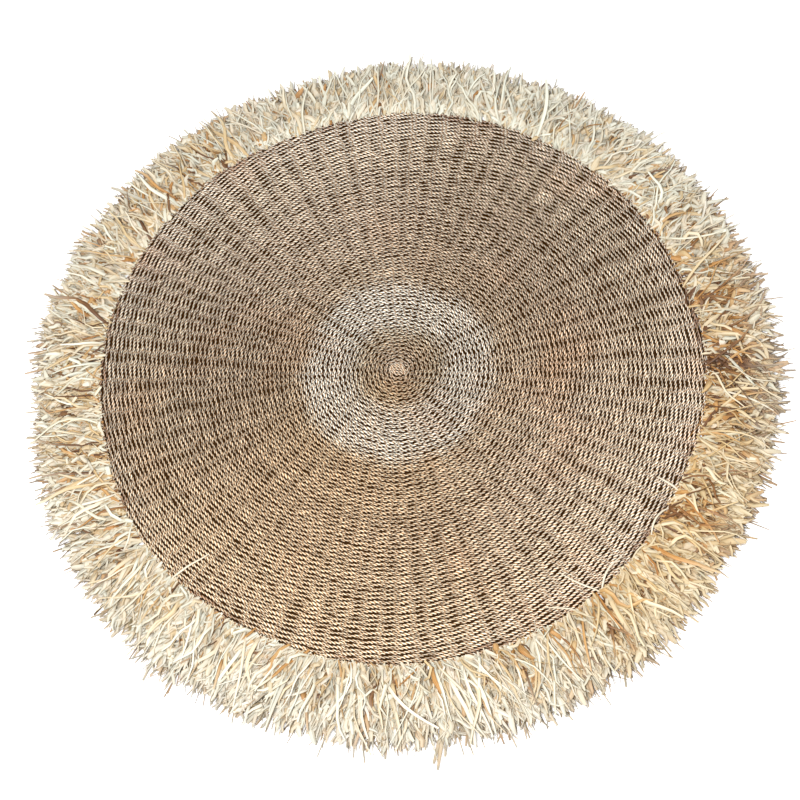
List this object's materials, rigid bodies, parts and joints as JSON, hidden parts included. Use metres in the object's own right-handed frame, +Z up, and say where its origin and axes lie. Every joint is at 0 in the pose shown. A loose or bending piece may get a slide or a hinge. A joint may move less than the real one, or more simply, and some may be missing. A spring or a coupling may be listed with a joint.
{
  "type": "fringed rug",
  "caption": "Round flat rug of twined seagrass rounds with a deep shaggy raffia fringe knotted round its edge.",
  "frame": {"origin": "centre of the mat's underside, on the floor that the rug lies on", "axes": "+Z up, away from the floor; +X to the right and +Y away from the viewer in the picture's view"},
  "size_m": [1.5108, 1.5109, 0.037],
  "materials": {
    "seagrass": "twined natural grass, matt",
    "raffia": "flat natural palm strips, slight sheen"
  },
  "bodies": {
    "root": {"woven_mat": "seagrass", "fringe_01": "raffia", "fringe_02": "raffia", "fringe_03": "raffia", "fringe_04": "raffia", "fringe_05": "raffia", "fringe_06": "raffia", "fringe_07": "raffia", "fringe_08": "raffia", "fringe_09": "raffia", "fringe_10": "raffia", "fringe_11": "raffia", "fringe_12": "raffia"}
  },
  "joints": []
}
